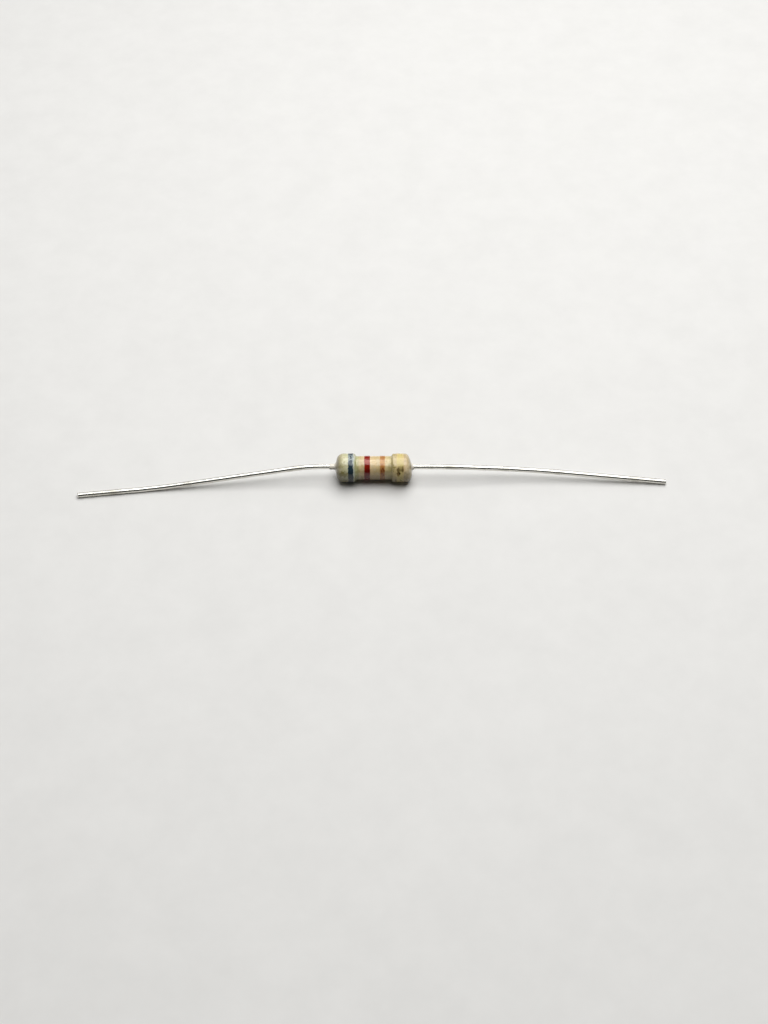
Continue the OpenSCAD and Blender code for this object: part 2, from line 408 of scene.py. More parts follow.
def lift_skin(name, low_x, high_x, radius):
    """Copies the coat's outside faces from low_x to high_x, and a little more, as a new piece."""
    take(coat)
    bpy.ops.object.mode_set(mode="EDIT")
    bpy.context.tool_settings.mesh_select_mode = (False, False, True)
    bpy.ops.mesh.select_all(action="DESELECT")
    bpy.ops.object.mode_set(mode="OBJECT")
    for face in coat.data.polygons:
        place = face.center - axis
        outside = math.hypot(place.y, place.z) > radius - lump_depth
        face.select = outside and low_x - spare_skin < face.center.x < high_x + spare_skin
    bpy.ops.object.mode_set(mode="EDIT")
    bpy.ops.mesh.duplicate()
    bpy.ops.mesh.separate(type="SELECTED")
    bpy.ops.object.mode_set(mode="OBJECT")
    band = next(piece for piece in bpy.context.selected_objects if piece != coat)
    band.name = name
    return band


def print_band(hue, ragged, tear_size):
    """One band. Ragged is how far its edges stray, and tear_size is how wide the tears are."""
    low, high = node_box(hue + "_band")
    band = lift_skin(hue + "_printed_band", low.x, high.x, node_radius(hue + "_band"))
    take(band)
    bpy.ops.object.mode_set(mode="EDIT")
    for edge_x, outward in ((low.x, -1), (high.x, 1)):
        bpy.ops.mesh.select_all(action="SELECT")
        bpy.ops.mesh.bisect(plane_co=(edge_x, 0, 0), plane_no=(outward, 0, 0), clear_outer=True,
                            threshold=merge_distance)
    bpy.ops.object.mode_set(mode="OBJECT")
    band.vertex_groups.clear()
    edges = band.vertex_groups.new(name="edges")
    for vertex in band.data.vertices:
        inside = min(vertex.co.x - low.x, high.x - vertex.co.x)
        edges.add([vertex.index], max(0.0, 1 - inside / ragged_width), "REPLACE")
    displace(band, clouds(band.name + "_edge", tear_size, depth=2), ragged, "edges", direction="X")
    solid = band.modifiers.new("paint", "SOLIDIFY")
    solid.thickness = paint_thickness
    solid.offset = 2 * paint_proud / paint_thickness - 1
    apply_all(band)
    return band


blue = print_band("blue", ragged=0.12, tear_size=0.22)
red = print_band("red", ragged=0.04, tear_size=0.3)
orange = print_band("orange", ragged=0.1, tear_size=0.25)
gold = print_band("gold", ragged=0.14, tear_size=0.2)
print("bands:", [(band.name, len(band.data.polygons)) for band in (blue, red, orange, gold)])

# %% [markdown]
# ## Wires
# The leads are tinned wire, welded on straight and bent by hand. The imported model's mounts
# give the line of each free end. A route is worked out through the two bends, a curve with a
# round bevel is laid along it and turned into a mesh. Each point also keeps where it was on
# the wire before it was bent, so that the drawing lines can follow the bends.

# %% Routes of the wires
mounts = {mount["name"]: mount for mount in frame["record"]["mounts"]}
ring_gap = 0.12


def free_end(name):
    """Both ends of the wire's last straight stretch, the outer one last."""
    mount = mounts[name]
    half = Vector(mount["axis"]) * mount["dims"]["length_mm"] / 2
    middle = Vector(mount["pos_m"]) * MM
    return middle - half, middle + half


def stretch(start, end):
    """Evenly spaced points of a straight run, all but its end."""
    count = max(2, round((end - start).length / ring_gap))
    return [start.lerp(end, step / count) for step in range(count)]


def bend(before, corner, after, radius):
    """The round bend that takes the place of a corner between two straight runs."""
    u = (corner - before).normalized()
    v = (after - corner).normalized()
    angle = u.angle(v)
    inward = (v - v.project(u)).normalized()
    start = corner - u * (radius * math.tan(angle / 2))
    turns = np.linspace(0, angle, max(3, round(radius * angle / ring_gap)))
    return [start + u * (radius * math.sin(t)) + inward * (radius * (1 - math.cos(t))) for t in turns]


def wire_route(mount, side, near_out, near_radius, far_out, far_radius):
    """The wire's middle line. Its two bends are this far out from the body's middle."""
    weld = axis + Vector((side * (cap_face + weld_height), 0, weld_lift))
    near = axis + Vector((side * near_out, 0, weld_lift))
    straight_start, tip = free_end(mount)
    run = tip - straight_start
    far = tip - run * ((tip.x - axis.x - side * far_out) / run.x)
    first = bend(weld, near, far, near_radius)
    second = bend(near, far, tip, far_radius)
    route = stretch(weld, first[0]) + first[:-1] + stretch(first[-1], second[0]) + second[:-1]
    return route + stretch(second[-1], tip) + [tip]


left_route = wire_route("left_tip", side=-1, near_out=5.6, near_radius=20, far_out=18.4, far_radius=40)
right_route = wire_route("right_tip", side=1, near_out=6, near_radius=50, far_out=13, far_radius=100)
for route in (left_route, right_route):
    length = sum((b - a).length for a, b in zip(route, route[1:]))
    tip_place = [round(c, 2) for c in route[-1]]
    print("wire", round(length, 2), "mm in", len(route), "points, tip at", tip_place)

# %% [markdown]
# ## A wire from a curve
# The curve's bevel gives a clean tube that can't twist or pinch in the bends. Its two ends are
# then worked by hand: the weld end is extruded into the collar of metal pressed out round the
# weld, and the free end is squeezed and cut at a slight slant, as side cutters leave it.

# %% Bare wires
sides = 40


def tube(name, route):
    start_fresh()
    bpy.ops.curve.primitive_nurbs_path_add()
    wire = bpy.context.object
    wire.name = name
    bpy.ops.object.location_clear()
    wire.data.splines.clear()
    strand = wire.data.splines.new("POLY")
    strand.points.add(len(route) - 1)
    for point, place in zip(strand.points, route):
        point.co = (*place, 1)
    wire.data.dimensions = "3D"
    wire.data.bevel_depth = wire_radius
    # A round bevel has four sides, and two more for each step of its resolution
    wire.data.bevel_resolution = (sides - 4) // 2
    wire.data.use_fill_caps = False
    bpy.ops.object.convert(target="MESH")
    return wire


left_wire = tube("left_tinned_wire", left_route)
right_wire = tube("right_tinned_wire", right_route)
print("faces along the wires:", len(left_wire.data.polygons), len(right_wire.data.polygons))

# %% The two ends of each wire
just_past_rim = 1.05
squeezed_lengths = (0.55, 0.42, 0.3)
trimmed_length = 0.045
cutter_lean = 0.1
rim_rounding = 0.03


def select_near(piece, place, reach):
    bpy.ops.object.mode_set(mode="EDIT")
    bpy.context.tool_settings.mesh_select_mode = (True, False, False)
    bpy.ops.mesh.select_all(action="DESELECT")
    bpy.ops.object.mode_set(mode="OBJECT")
    for vertex in piece.data.vertices:
        vertex.select = (vertex.co - place).length < reach
    bpy.ops.object.mode_set(mode="EDIT")


def weld_collar_on(wire, weld, side):
    """Widens the weld end into its collar and closes it on the cap's face."""
    select_near(wire, weld, wire_radius * just_past_rim)
    radii = (wire_radius, collar_radius - collar_edge, collar_radius, collar_radius)
    moves = (0, collar_edge, weld_height - collar_edge)
    for radius, new_radius, inward in zip(radii, radii[1:], moves):
        move = Vector((-side * inward, 0, 0))
        weld = weld + move
        bpy.ops.mesh.extrude_region_move(TRANSFORM_OT_translate={"value": move})
        grow = new_radius / radius
        bpy.ops.transform.resize(value=(1, grow, grow), center_override=weld)
    bpy.ops.mesh.edge_face_add()
    bpy.ops.object.mode_set(mode="OBJECT")


def cut_free_end(wire, route, slant, squeeze):
    """Squeezes the last stretch a little flat, then cuts it off at a slant and rolls the rim."""
    tip = route[-1]
    along = (tip - route[-2]).normalized()
    for length in squeezed_lengths:
        select_near(wire, tip, length)
        bpy.ops.transform.resize(value=(1, 1, squeeze), center_override=tip)
    bpy.ops.mesh.select_all(action="SELECT")
    facing = (along + Vector((0, math.tan(math.radians(slant)), cutter_lean))).normalized()
    bpy.ops.mesh.bisect(plane_co=tip - along * trimmed_length, plane_no=facing, clear_outer=True,
                        use_fill=True, threshold=merge_distance)
    bpy.ops.mesh.bevel(offset=rim_rounding, segments=3)
    bpy.ops.mesh.select_all(action="SELECT")
    bpy.ops.mesh.normals_make_consistent(inside=False)
    bpy.ops.object.mode_set(mode="OBJECT")


def work_ends(wire, route, side, slant, squeeze):
    take(wire)
    weld_collar_on(wire, route[0], side)
    cut_free_end(wire, route, slant, squeeze)
    print_span(wire)


work_ends(left_wire, left_route, side=-1, slant=-14, squeeze=0.98)
work_ends(right_wire, right_route, side=1, slant=9, squeeze=0.99)

# %% Straight-wire places and dents


def keep_unbent(wire, route):
    """Stores, for every point, its place on the straight wire: along it, across it and up."""
    line = np.array([tuple(place) for place in route])
    steps = np.diff(line, axis=0)
    lengths = np.concatenate([[0], np.cumsum(np.linalg.norm(steps, axis=1))])
    ahead = np.vstack([steps, steps[-1:]])
    ahead /= np.linalg.norm(ahead, axis=1)[:, None]
    places = corners(wire)
    nearest = ((places[:, None, :] - line[None]) ** 2).sum(2).argmin(1)
    offset = places - line[nearest]
    along = ahead[nearest]
    across = np.cross((0, 0, 1), along)
    across /= np.linalg.norm(across, axis=1)[:, None]
    up = np.cross(along, across)
    unbent = np.stack([lengths[nearest] + (offset * along).sum(1), (offset * across).sum(1),
                       (offset * up).sum(1)], 1)
    strand = wire.data.attributes.new("strand", "FLOAT_VECTOR", "POINT")
    strand.data.foreach_set("vector", unbent.astype(np.float32).ravel())


for wire, route in ((left_wire, left_route), (right_wire, right_route)):
    keep_unbent(wire, route)
    outside = [v.index for v in wire.data.vertices if abs(v.co.x - axis.x) > cap_face + end_coat]
    wire.vertex_groups.new(name="skin").add(outside, 1.0, "REPLACE")
    displace(wire, clouds(wire.name + "_dents", size=0.7, depth=2), strength=0.02, group="skin")
    apply_all(wire)
    print_span(wire)

# %% [markdown]
# ## Placing the pieces
# Every piece is now shrunk to its real size and tied to the body, and the plain solid of the
# imported model in its place is hidden. The pieces that never show, inside the lacquer, stay as
# the packed model gives them.

# %% Shrink and tie the pieces
finish_piece(coat, "lacquer_coat")
for band in (blue, red, orange, gold):
    hue = band.name.split("_")[0]
    finish_piece(band, hue + "_band")
finish_piece(left_wire, "left_lead")
finish_piece(right_wire, "right_lead")

# %% [markdown]
# ## Helpers for materials
# Colours are written as hex values, as a colour picker gives them, and one function turns them
# linear. One more adds a node: it applies the settings, then fills or links each input, and
# gives a ramp its colours. Two more take up what the finishes share: a colour laid over another
# by noise, and the relief and shader that end every material.

# %% Helpers for materials


def colour(hex_value):
    parts = [int(hex_value[i : i + 2], 16) / 255 for i in (1, 3, 5)]
    return tuple(p / 12.92 if p <= 0.04045 else ((p + 0.055) / 1.055) ** 2.4 for p in parts) + (1.0,)


def new_material(name):
    material = bpy.data.materials.new(name)
    material.use_nodes = True
    material.node_tree.nodes.clear()
    return material


def add(material, kind, inputs=None, stops=(), **settings):
    """Adds a node and returns it. A node given as an input is linked by its first output."""
    node = material.node_tree.nodes.new("ShaderNode" + kind)
    for name, setting in settings.items():
        setattr(node, name, setting)
    in_use = [socket for socket in node.inputs if socket.enabled]
    for key, value in (inputs or {}).items():
        socket = in_use[key] if isinstance(key, int) else next(s for s in in_use if s.name == key)
        if isinstance(value, bpy.types.Node):
            value = next(output for output in value.outputs if output.enabled)
        if isinstance(value, bpy.types.NodeSocket):
            material.node_tree.links.new(value, socket)
        else:
            socket.default_value = value
    for position, _ in stops[1:-1]:
        node.color_ramp.elements.new(position)
    for element, (position, hex_value) in zip(node.color_ramp.elements if stops else (), stops):
        element.position = position
        element.color = colour(hex_value)
    return node


def mottled(material, place, under, over, begins, full, strength=1.0, **noise):
    """Lays one colour over another by noise. Returns the noise, its mask and the mixed colour."""
    grain = add(material, "TexNoise", {"Vector": place, **noise})
    mask = add(material, "MapRange", {"Value": grain, "From Min": begins, "From Max": full,
                                      "To Max": strength})
    tint = add(material, "Mix", {"Factor": mask, "A": under, "B": over}, data_type="RGBA")
    return grain, mask, tint


def surfaced(material, tint, roughness, height, depth, **own):
    """Ends a material with its shader, over a relief of this depth in millimetres."""
    relief = add(material, "Bump", {"Height": height, "Distance": depth / MM})
    shader = add(material, "BsdfPrincipled", {"Base Color": tint, "Roughness": roughness,
                                              "Normal": relief, **own})
    add(material, "OutputMaterial", {"Surface": shader})
    print(material.name, "has", len(material.node_tree.nodes), "nodes")
    return material


# %% [markdown]
# ## Measuring on the body
# Patterns are set in millimetres from the middle of the body. Noise reads the plain place, so
# it has no seam. Patches of paint, of stain, and of painted shade and highlight are drawn on the
# body's unrolled skin: its first coordinate runs along the body and its second round it, from
# the front over the top. Each patch is a soft ellipse there, with its middle, its half sizes and
# its turn. It is full out to 0.6 of its size and has faded away at 1.15 of it.

# %% Places and patches
patch_full = 0.6
patch_gone = 1.15


def body_place(material):
    coords = add(material, "TexCoord")
    return add(material, "Mapping", {"Vector": coords.outputs["Object"], "Location": tuple(-axis),
                                     "Scale": (MM, MM, MM)})


def unrolled(material, place, raggedness):
    """The place on the unrolled skin, pushed about a little so that patches get ragged edges."""
    parts = add(material, "SeparateXYZ", {"Vector": place})
    forward = add(material, "Math", {0: parts.outputs["Y"], 1: -1.0}, operation="MULTIPLY")
    angle = add(material, "Math", {0: parts.outputs["Z"], 1: forward}, operation="ARCTAN2")
    around = add(material, "Math", {0: angle, 1: crown_radius}, operation="MULTIPLY")
    flat = add(material, "CombineXYZ", {"X": parts.outputs["X"], "Y": around})
    wobble = add(material, "TexNoise", {"Vector": place, "Scale": 4.0, "Detail": 2.0})
    centred = add(material, "VectorMath", {0: wobble.outputs["Color"], 1: (0.5, 0.5, 0.5)},
                  operation="SUBTRACT")
    pushed = add(material, "VectorMath", {0: centred, 1: (raggedness,) * 3}, operation="MULTIPLY")
    return add(material, "VectorMath", {0: flat, 1: pushed}, operation="ADD")


def patches(material, skin_place, ellipses):
    """A mask of several ellipses: middle along, angle round, half sizes, turn and strength."""
    mask = None
    for along, degrees, half_along, half_round, turn, strength in ellipses:
        middle = (along, math.radians(degrees) * crown_radius, 0.0)
        own = add(material, "Mapping", {"Vector": skin_place, "Location": middle,
                                        "Rotation": (0.0, 0.0, math.radians(turn)),
                                        "Scale": (half_along, half_round, 1.0)}, vector_type="TEXTURE")
        reach = add(material, "VectorMath", {0: own}, operation="LENGTH")
        patch = add(material, "MapRange", {"Value": reach, "From Min": patch_gone,
                                           "From Max": patch_full, "To Max": strength})
        mask = add(material, "Math", {0: mask, 1: patch}, operation="MAXIMUM") if mask else patch
    return mask


# %% [markdown]
# ## Baked lacquer
# The body is dipped in a filled alkyd lacquer and baked, which gives a satin skin that isn't
# one colour: cream with a touch of green on the left cap, a greenish line in the shoulder, warm
# beige on the barrel and yellower beige on the right cap. Over both ends the tone turns greyer,
# and darker as painted shade on the domes, most of all on the left. Just right of the blue band
# a bluish white strip is a painted glint. The film that crept along the wire is painted nearly
# white, partly a painted reflection of the tin under it, and its edge on the dome is uneven. The
# filler shows as soft clouds about 0.4 mm across, with pale flecks and small dull specks between
# them. A few spots of olive stain lie on the caps and the barrel, with a thin dark line at the
# right shoulder; where they lie low on the front and underneath they are painted shade as much
# as stain. A peel of about 0.15 mm breaks up the shine.

# %% Lacquer tones and stains
zone_reach = 3.75

# Each tone and its place along the body, then each stain as patches() takes it. The bluish white
# at -1.72 is a painted glint, and the darker tones at both ends are painted shade on the domes.
# Every stain low on the front and underneath is painted shade as much as stain.
lacquer_tones_and_painted_light = (
    (-3.24, "#b0a28f"), (-3.0, "#b4ad93"), (-2.78, "#c4be98"), (-2.5, "#d7d5a9"), (-2.3, "#dfdeb8"),
    (-1.95, "#dcdfc0"), (-1.72, "#cdd5ca"), (-1.6, "#bfc493"), (-1.42, "#c7c592"), (-1.15, "#e2cb9b"),
    (-0.6, "#eacd9e"), (0.1, "#e4c995"), (0.8, "#e1c792"), (1.2, "#dcca95"), (1.5, "#cabc88"),
    (1.72, "#d0bc8a"), (2.1, "#dec98e"), (2.6, "#dfc493"), (2.9, "#dfcaa0"), (3.1, "#d2c198"),
    (3.22, "#c2b08c"))
stains_and_shade = (
    (-2.55, 22, 0.42, 0.3, 0, 0.85), (-2.7, -25, 0.5, 0.4, 0, 0.6), (-2.75, 55, 0.3, 0.2, 20, 0.4),
    (-2.41, 74, 0.1, 0.12, 0, 0.35), (-1.4, 20, 0.16, 0.9, 0, 0.35), (-0.95, 42, 0.3, 0.3, 0, 0.25),
    (1.69, 46, 0.055, 0.36, 0, 0.8), (2.2, -20, 0.5, 0.35, 0, 0.55), (1.35, 45, 0.25, 0.5, 0, 0.3),
    (2.75, 10, 0.25, 0.4, 0, 0.4))


def zoned(material, place):
    """The lacquer's tone along the body, with borders that wander up to a quarter millimetre."""
    along = add(material, "SeparateXYZ", {"Vector": place})
    broad = add(material, "TexNoise", {"Vector": place, "Scale": 0.7, "Detail": 2.0})
    wander = add(material, "MapRange", {"Value": broad, "To Min": -0.25, "To Max": 0.25})
    shifted = add(material, "Math", {0: along, 1: wander}, operation="ADD")
    share = add(material, "MapRange", {"Value": shifted, "From Min": -zone_reach, "From Max": zone_reach})
    stops = [((at + zone_reach) / (2 * zone_reach), hex_value) for at, hex_value in lacquer_tones_and_painted_light]
    return add(material, "ValToRGB", {"Fac": share}, stops=stops)


print("lacquer in", len(lacquer_tones_and_painted_light), "zones with", len(stains_and_shade), "stains_and_shade")

# %% Lacquer


def crept_film(material, place, uneven):
    """A mask of the crept film: full within about 0.35 mm of the wire's line, gone by 0.45 mm."""
    across_wire = add(material, "Mapping", {"Vector": place, "Location": (0.0, 0.0, -weld_lift),
                                            "Scale": (0.0, 1.0, 1.0)})
    from_wire = add(material, "VectorMath", {0: across_wire}, operation="LENGTH")
    strayed = add(material, "Math", {0: uneven, 1: 0.3, 2: from_wire}, operation="MULTIPLY_ADD")
    return add(material, "MapRange", {"Value": strayed, "From Min": 0.6, "From Max": 0.5})


def baked_lacquer():
    material = new_material("baked_beige_lacquer")
    place = body_place(material)
    filler, _, clouded = mottled(material, place, zoned(material, place), colour("#8f7f4c"), 0.37, 0.66,
                                 strength=0.38, Scale=1.25, Detail=3.0, Roughness=0.6)
    pale, _, flecked = mottled(material, place, clouded, colour("#f1e2c6"), 0.52, 0.72,
                               strength=0.4, Scale=2.3, Detail=2.0)
    _, _, specked = mottled(material, place, flecked, colour("#a8925e"), 0.5, 0.68,
                            strength=0.3, Scale=5.0, Detail=2.0, Roughness=0.7)
    # Olive stain; where it lies low on the front and underneath it is painted shade as much as stain.
    stain_and_shade_mask = patches(material, unrolled(material, place, 0.7), stains_and_shade)
    stained_and_shaded = add(material, "Mix", {"Factor": stain_and_shade_mask, "A": specked, "B": colour("#867b3c")},
                  data_type="RGBA")
    # The crept film is painted nearly white, partly a painted reflection of the tin under the clear film.
    finished = add(material, "Mix", {"Factor": crept_film(material, place, pale), "A": stained_and_shaded,
                                     "B": colour("#ece6d8")}, data_type="RGBA")
    peel = add(material, "TexNoise", {"Vector": place, "Scale": 3.3, "Detail": 2.0, "Roughness": 0.4})
    roughness = add(material, "MapRange", {"Value": filler, "From Min": 0.3, "From Max": 0.7,
                                           "To Min": 0.12, "To Max": 0.2})
    return surfaced(material, finished, roughness, peel, depth=0.006, IOR=1.52)


lacquer = baked_lacquer()

# %% [markdown]
# ## Printed paints
# The bands are rolled on with a wheel, so the paint drags round the body in fine streaks and
# is thinner in places, where the beige below comes through. One function mixes the full paint
# and its thin, dragged colour by a noise that is stretched round the body. Patches near the top
# of each band take the thin colour as painted highlight, broken into painted glints on the blue
# band. Patches low on the front and underneath take the dark colour as painted shade; on the
# orange band two slanted dark patches are paint that ran thick. Being paint over lacquer, it's
# as glossy as the lacquer itself, and its ripples break the shine.

# %% A printed paint
thin_begins = 0.62
thin_full = 0.82


def printed_paint(name, full, thin_and_highlight, dark, offset, ripple_depth, thinness, shade_and_thick_patches, painted_highlight_patches):
    """A paint dragged round the body. The more thinness, the more of it shows its thin colour."""
    material = new_material(name)
    place = body_place(material)
    dragged = add(material, "Mapping", {"Vector": place, "Scale": (3.5, 0.8, 0.8), "Location": offset})
    streaks = add(material, "TexNoise", {"Vector": dragged, "Scale": 1.0, "Detail": 3.0, "Roughness": 0.6})
    worn = add(material, "MapRange", {"Value": streaks, "From Min": thin_begins - thinness,
                                      "From Max": thin_full - thinness})
    skin_place = unrolled(material, place, 0.3)
    # Painted highlight: the thin colour on patches near the top of the band, with the real thin streaks.
    scant_and_highlit = add(material, "Math", {0: worn, 1: patches(material, skin_place, painted_highlight_patches)},
                operation="MAXIMUM")
    covered_and_highlit = add(material, "Mix", {"Factor": scant_and_highlit, "A": colour(full), "B": colour(thin_and_highlight)},
                  data_type="RGBA")
    # Painted shade: the dark colour on patches low on the front and underneath, with the orange band's
    # streaks of thick paint.
    thick_and_shade = patches(material, skin_place, shade_and_thick_patches)
    pooled_and_shaded = add(material, "Mix", {"Factor": thick_and_shade, "A": covered_and_highlit, "B": colour(dark)}, data_type="RGBA")
    mottle, _, tinted = mottled(material, place, pooled_and_shaded, colour(dark), 0.35, 0.65, strength=0.3,
                                Scale=2.8, Detail=2.0)
    roughness = add(material, "MapRange", {"Value": mottle, "From Min": 0.3, "From Max": 0.7,
                                           "To Min": 0.12, "To Max": 0.2})
    ripple = add(material, "TexNoise", {"Vector": dragged, "Scale": 1.6, "Detail": 2.0, "Roughness": 0.4})
    return surfaced(material, tinted, roughness, ripple, ripple_depth, IOR=1.5)


# %% Paints of the blue, red and orange bands
# Per band, the patches near the top are painted highlight, painted glints on the blue band, and the
# patches low on the front and underneath are painted shade; the orange band's two slanted patches at 40
# degrees are thick paint.
blue_paint = printed_paint(
    "dark_blue_band_paint", full="#2b3f49", thin_and_highlight="#a9b5b4", dark="#0f1a22", offset=(0.3, 0.1, 0.7),
    ripple_depth=0.03, thinness=0.0,
    shade_and_thick_patches=((-1.95, 15, 0.2, 0.3, 0, 0.6), (-1.95, -20, 0.3, 0.7, 0, 0.8)),
    painted_highlight_patches=((-2.1, 95, 0.07, 0.6, 0, 0.9), (-1.77, 92, 0.09, 0.7, 0, 1.0),
                  (-1.93, 84, 0.16, 0.06, 20, 0.8), (-1.92, 109, 0.2, 0.09, 0, 0.7)))
red_paint = printed_paint(
    "brick_red_band_paint", full="#971b06", thin_and_highlight="#bd4220", dark="#520801", offset=(0.9, 0.4, 0.2),
    ripple_depth=0.012, thinness=0.0,
    shade_and_thick_patches=((-0.5, 20, 0.3, 0.7, 0, 0.6),),
    painted_highlight_patches=((-0.55, 79, 0.35, 0.26, 0, 0.9),))
orange_paint = printed_paint(
    "burnt_orange_band_paint", full="#c28546", thin_and_highlight="#dda763", dark="#6b3317", offset=(0.1, 0.8, 0.5),
    ripple_depth=0.012, thinness=0.1,
    shade_and_thick_patches=((0.71, 40, 0.07, 0.3, -19, 0.9), (0.86, 41, 0.07, 0.3, 14, 0.9),
                   (0.66, 20, 0.1, 0.14, 0, 0.8), (0.84, 12, 0.09, 0.14, 0, 0.7),
                   (0.74, 28, 0.25, 0.5, 0, 0.35)),
    painted_highlight_patches=((0.74, 79, 0.35, 0.28, 0, 0.8),))

# %% [markdown]
# ## Gold paint
# Gold paint carries metal flakes in a clear yellow binder. This band was dragged on with too
# little paint: most of it is a thin yellowish wash that the lacquer shows through, and the
# flakes gather in a few brown streaks that shine like dull brass. On the front of the band the
# brown streaks are painted dark reflection of the metal as much as flakes. The flakes are drawn
# 0.1 mm across, which is coarser than they are, so that they show. Only the streaks are metallic.

# %% Gold
wash_middle = 2.22
# Brown flake streaks; those on the front, from -20 to 46 degrees, are painted dark reflection of the metal
# as much as flakes.
flake_and_dark_reflection_patches = (
    (2.24, 46, 0.34, 0.24, 0, 0.45), (2.08, 41, 0.15, 0.26, 0, 0.8), (2.09, 25, 0.15, 0.32, 0, 1.0),
    (2.45, 46, 0.12, 0.3, 0, 0.9), (2.27, 42, 0.14, 0.16, 0, 0.6), (2.3, -20, 0.22, 0.3, 0, 0.5),
    (2.14, 150, 0.16, 0.5, 6, 0.6), (2.37, 170, 0.17, 0.5, 0, 0.5), (2.2, 215, 0.2, 0.5, 0, 0.6),
    (2.3, -75, 0.2, 0.5, 0, 0.7))


def gold_wash(material, place, streaks):
    """The thin wash, yellow along its middle and fading to the lacquer's colour at its edges."""
    along = add(material, "SeparateXYZ", {"Vector": place})
    beside = add(material, "Math", {0: along, 1: wash_middle}, operation="SUBTRACT")
    off_middle = add(material, "Math", {0: beside}, operation="ABSOLUTE")
    faded = add(material, "Math", {0: off_middle, 1: 1.5, 2: streaks}, operation="MULTIPLY_ADD")
    mask = add(material, "MapRange", {"Value": faded, "From Min": 0.5, "From Max": 0.95})
    return add(material, "Mix", {"Factor": mask, "A": colour("#dccb7e"), "B": colour("#dcc48d")},
               data_type="RGBA")


def gold_paint():
    material = new_material("dragged_gold_flake_paint")
    place = body_place(material)
    dragged = add(material, "Mapping", {"Vector": place, "Scale": (3.0, 0.7, 0.7),
                                        "Location": (0.4, 0.3, 0.1)})
    streaks = add(material, "TexNoise", {"Vector": dragged, "Scale": 1.2, "Detail": 2.0})
    # Painted dark reflection: brown streaks on the front of the band, as well as flakes.
    laid_and_dark_reflection = patches(material, unrolled(material, place, 0.22), flake_and_dark_reflection_patches)
    broken = add(material, "MapRange", {"Value": streaks, "From Min": 0.3, "From Max": 0.44,
                                        "To Min": 0.75})
    thick_and_shade = add(material, "Math", {0: laid_and_dark_reflection, 1: broken}, operation="MULTIPLY")
    flakes, _, brass_and_dark_reflection = mottled(material, place, colour("#55431a"), colour("#7d6430"), 0.4, 0.6,
                               Scale=5.0, Detail=1.0)
    tinted = add(material, "Mix", {"Factor": thick_and_shade, "A": gold_wash(material, place, streaks),
                                   "B": brass_and_dark_reflection}, data_type="RGBA")
    metal = add(material, "MapRange", {"Value": thick_and_shade, "To Max": 0.5})
    roughness = add(material, "MapRange", {"Value": flakes, "From Min": 0.3, "From Max": 0.7,
                                           "To Min": 0.24, "To Max": 0.36})
    return surfaced(material, tinted, roughness, flakes, depth=0.005, Metallic=metal)


gold_finish = gold_paint()

# %% [markdown]
# ## Tinned drawn wire
# The wire is copper-clad steel, drawn through dies and dipped in tin. The dies leave fine lines
# along it, the tin freezes in soft lumps about 0.45 mm apart, and handling leaves duller
# patches. The lines follow the stored straight-wire places, so they go round the bends with
# it. Real drawing lines are a few hundredths of a millimetre apart and are drawn a little
# wider, so that they show.

# %% Wire


def tinned_wire():
    material = new_material("tinned_drawn_wire")
    on_wire = add(material, "Attribute", attribute_name="strand").outputs["Vector"]
    stretched = add(material, "Mapping", {"Vector": on_wire, "Scale": (0.25, 9.0, 9.0)})
    lines = add(material, "TexNoise", {"Vector": stretched, "Scale": 1.25, "Detail": 2.0,
                                       "Roughness": 0.6})
    lumps = add(material, "TexNoise", {"Vector": on_wire, "Scale": 1.1, "Detail": 2.0})
    _, dull, tint = mottled(material, on_wire, colour("#dcdad2"), colour("#b4b1a5"), 0.5, 0.7,
                            Scale=0.45, Detail=3.0, Roughness=0.6)
    roughness = add(material, "MapRange", {"Value": dull, "To Min": 0.24, "To Max": 0.4})
    height = add(material, "Math", {0: lumps, 1: 3.0, 2: lines}, operation="MULTIPLY_ADD")
    return surfaced(material, tint, roughness, height, depth=0.003, Metallic=1.0)


wire_finish = tinned_wire()

# %% [markdown]
# ## Pieces inside the lacquer
# The rod is fired alumina, white and matt with a fine grain. The film is a dull carbon deposit.
# The caps are pressed from tin-plated steel, so the drawing marks run along their walls. None
# of it shows on a whole resistor, but each still has its own finish.

# %% Inner finishes
even = (1.0, 1.0, 1.0)
along_body = (0.2, 4.0, 4.0)


def grained(name, dark, light, scale, stretched, depth, shiniest, dullest, **own):
    """A fine grain in two close tones, stretched along the body where the piece was drawn."""
    material = new_material(name)
    place = add(material, "Mapping", {"Vector": body_place(material), "Scale": stretched})
    grain, mask, tint = mottled(material, place, colour(dark), colour(light), 0.3, 0.7,
                                Scale=scale, Detail=3.0, Roughness=0.6)
    roughness = add(material, "MapRange", {"Value": mask, "To Min": shiniest, "To Max": dullest})
    return surfaced(material, tint, roughness, grain, depth, **own)


alumina = grained("fired_alumina", "#e0dacd", "#f2eee4", scale=6.0, stretched=even, depth=0.004,
                  shiniest=0.7, dullest=0.8, IOR=1.75)
carbon = grained("carbon_deposit", "#1d1c1e", "#3a393b", scale=4.0, stretched=even, depth=0.002,
                 shiniest=0.4, dullest=0.6, IOR=1.8)
steel = grained("pressed_tinned_steel", "#9c9d9c", "#bfc0bf", scale=1.7, stretched=along_body,
                depth=0.003, shiniest=0.28, dullest=0.42, Metallic=1.0)

# %% [markdown]
# ## Giving the finishes
# Each piece has one material all over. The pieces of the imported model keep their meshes, and
# only what is in their material slots changes.

# %% Give each piece its finish


def paint(piece, material):
    piece.data.materials.clear()
    piece.data.materials.append(material)


for piece, finish in ((coat, lacquer), (blue, blue_paint), (red, red_paint), (orange, orange_paint),
                      (gold, gold_finish), (left_wire, wire_finish), (right_wire, wire_finish),
                      (nodes["ceramic_core"], alumina), (nodes["carbon_film"], carbon),
                      (nodes["left_end_cap"], steel), (nodes["right_end_cap"], steel)):
    paint(piece, finish)
    print(piece.name, "is finished in", finish.name)

